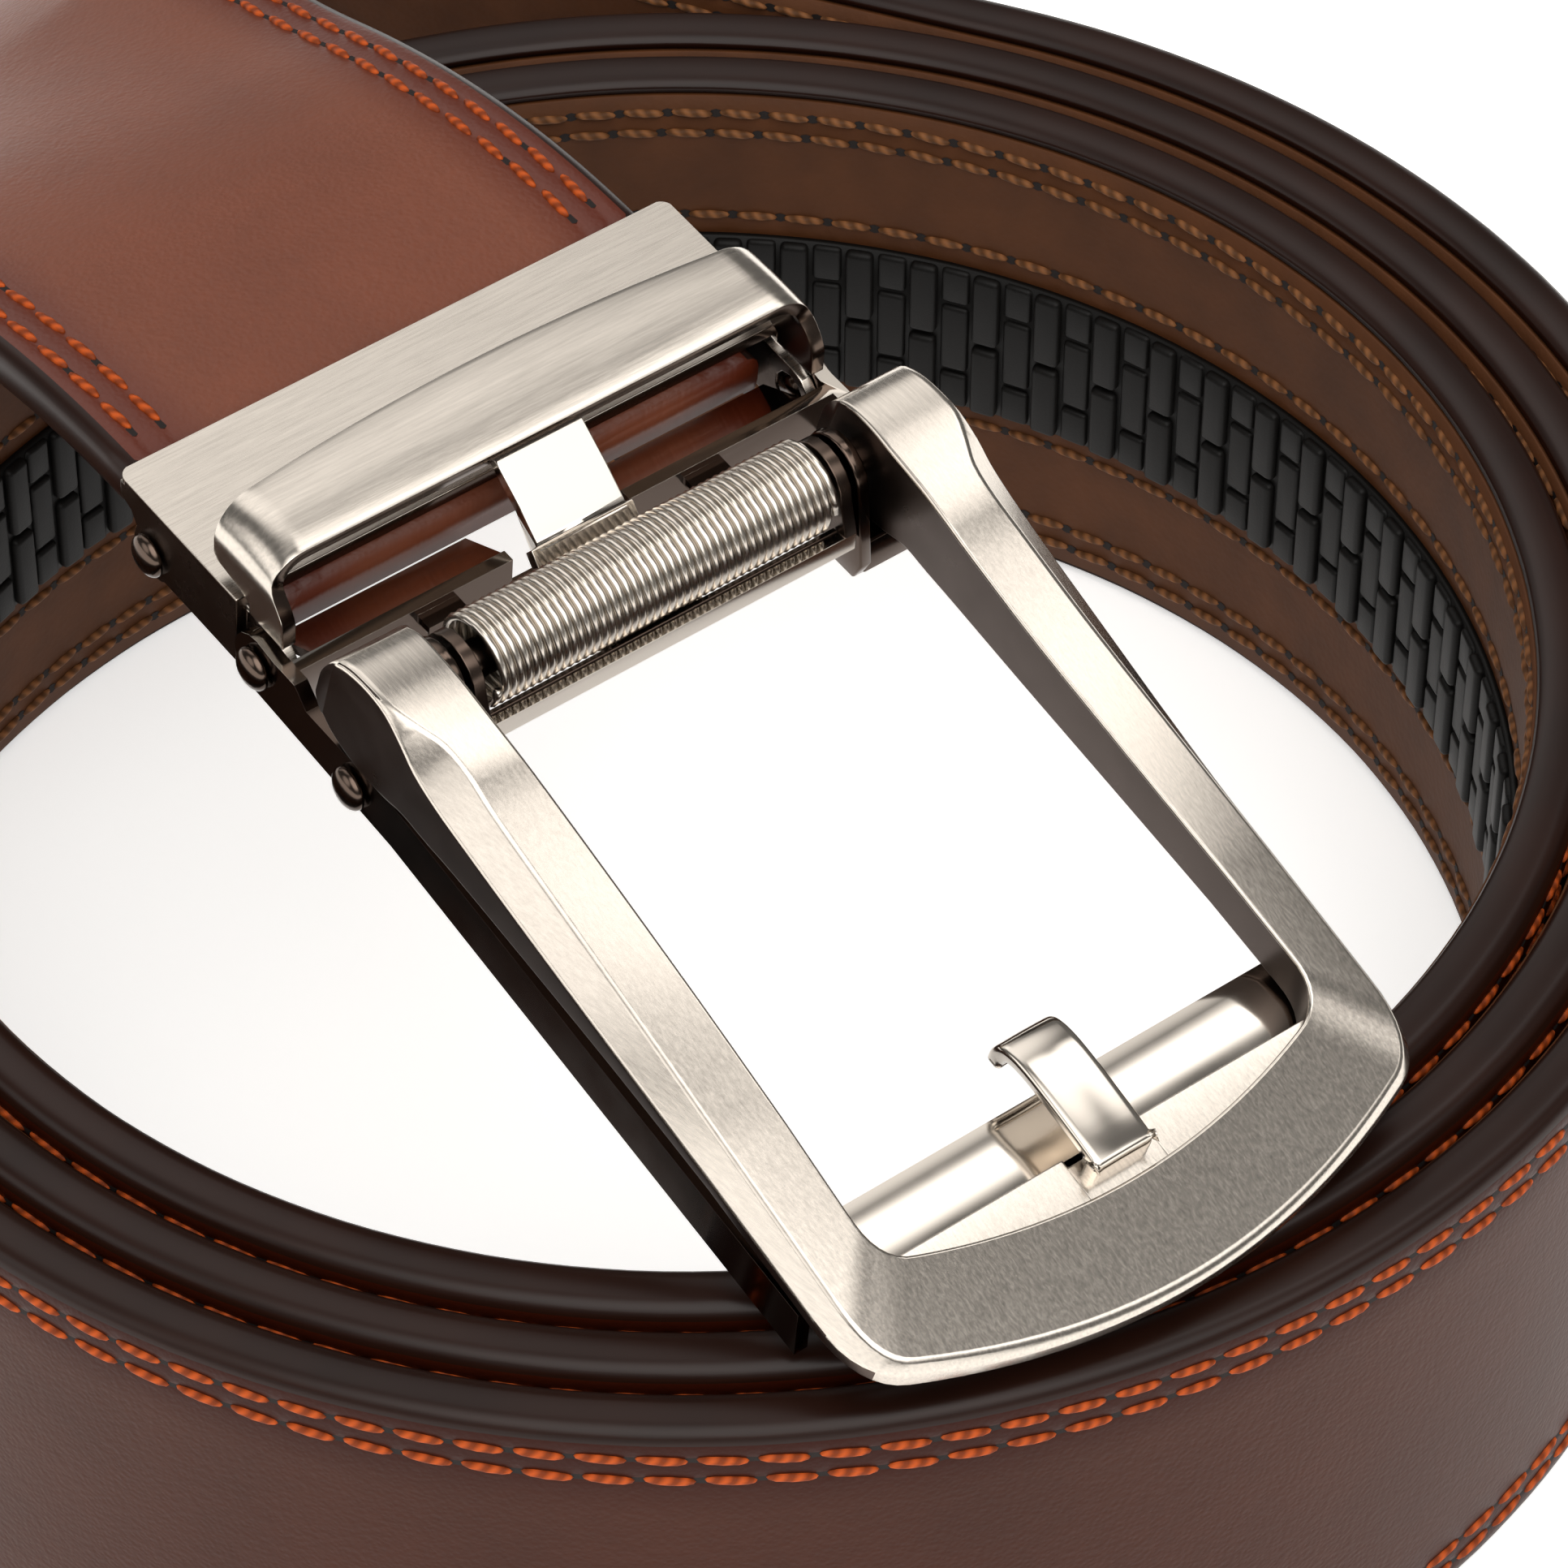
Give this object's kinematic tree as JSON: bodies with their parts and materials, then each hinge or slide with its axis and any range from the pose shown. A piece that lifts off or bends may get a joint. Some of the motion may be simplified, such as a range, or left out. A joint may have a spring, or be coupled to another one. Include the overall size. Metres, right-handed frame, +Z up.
{
  "type": "ratchet belt",
  "caption": "Brown leather ratchet belt coiled on edge, its strap end laid over the coil to a satin nickel frame buckle with a sprung pawl and keeper arch.",
  "frame": {"origin": "under the middle of the belt's box, on the surface that it stands on", "axes": "+X along the buckle, from the clamp to the frame's end bar; +Y across the strap; +Z up"},
  "size_m": [0.144, 0.1168, 0.0563],
  "materials": {
    "smooth_leather": "glossy red-brown leather with fine grain and dark painted edges",
    "lining_leather": "matte brown lining",
    "track_rubber": "matte black toothed track",
    "brushed_nickel": "satin nickel, brushed across",
    "polished_nickel": "polished nickel",
    "dark_nickel": "dark polished nickel"
  },
  "bodies": {
    "strap": {"strap_leather": "smooth_leather", "strap_lining": "lining_leather", "ratchet_track": "track_rubber", "clamp_shell": "brushed_nickel", "jaw_pin_left": "dark_nickel", "jaw_pin_right": "dark_nickel"},
    "jaw": {"clamp_jaw": "dark_nickel"},
    "base": {"buckle_base": "dark_nickel", "keeper_arch": "polished_nickel", "hinge_pin_left": "dark_nickel", "hinge_pin_right": "dark_nickel", "rod_bracket_left": "dark_nickel", "rod_bracket_right": "dark_nickel", "rail_rivet_left": "dark_nickel", "rail_rivet_right": "dark_nickel", "spring_rod": "polished_nickel", "spring_coil": "polished_nickel"},
    "frame": {"front_frame": "brushed_nickel", "prong": "polished_nickel"},
    "pawl": {"pawl": "polished_nickel"}
  },
  "joints": [
    {"name": "jaw_open", "type": "hinge", "parent": "strap", "child": "jaw", "pos_m": [0.00216, -0.00953, 0.04832], "axis": [0, 1, 0], "range_deg": [0, 60]},
    {"name": "buckle_hinge", "type": "hinge", "parent": "strap", "child": "base", "pos_m": [0.01247, -0.00953, 0.04802], "axis": [0, -1, 0], "range_deg": [0, 8]},
    {"name": "frame_lift", "type": "hinge", "parent": "base", "child": "frame", "pos_m": [0.02169, -0.00953, 0.05123], "axis": [0, -1, 0], "range_deg": [0, 45]},
    {"name": "pawl_turn", "type": "hinge", "parent": "base", "child": "pawl", "pos_m": [0.02169, -0.00953, 0.05123], "axis": [0, -1, 0], "range_deg": [0, 16]}
  ],
  "couplings": [
    {"joint": "pawl_turn", "follows": "frame_lift", "ratio": 0.35}
  ]
}
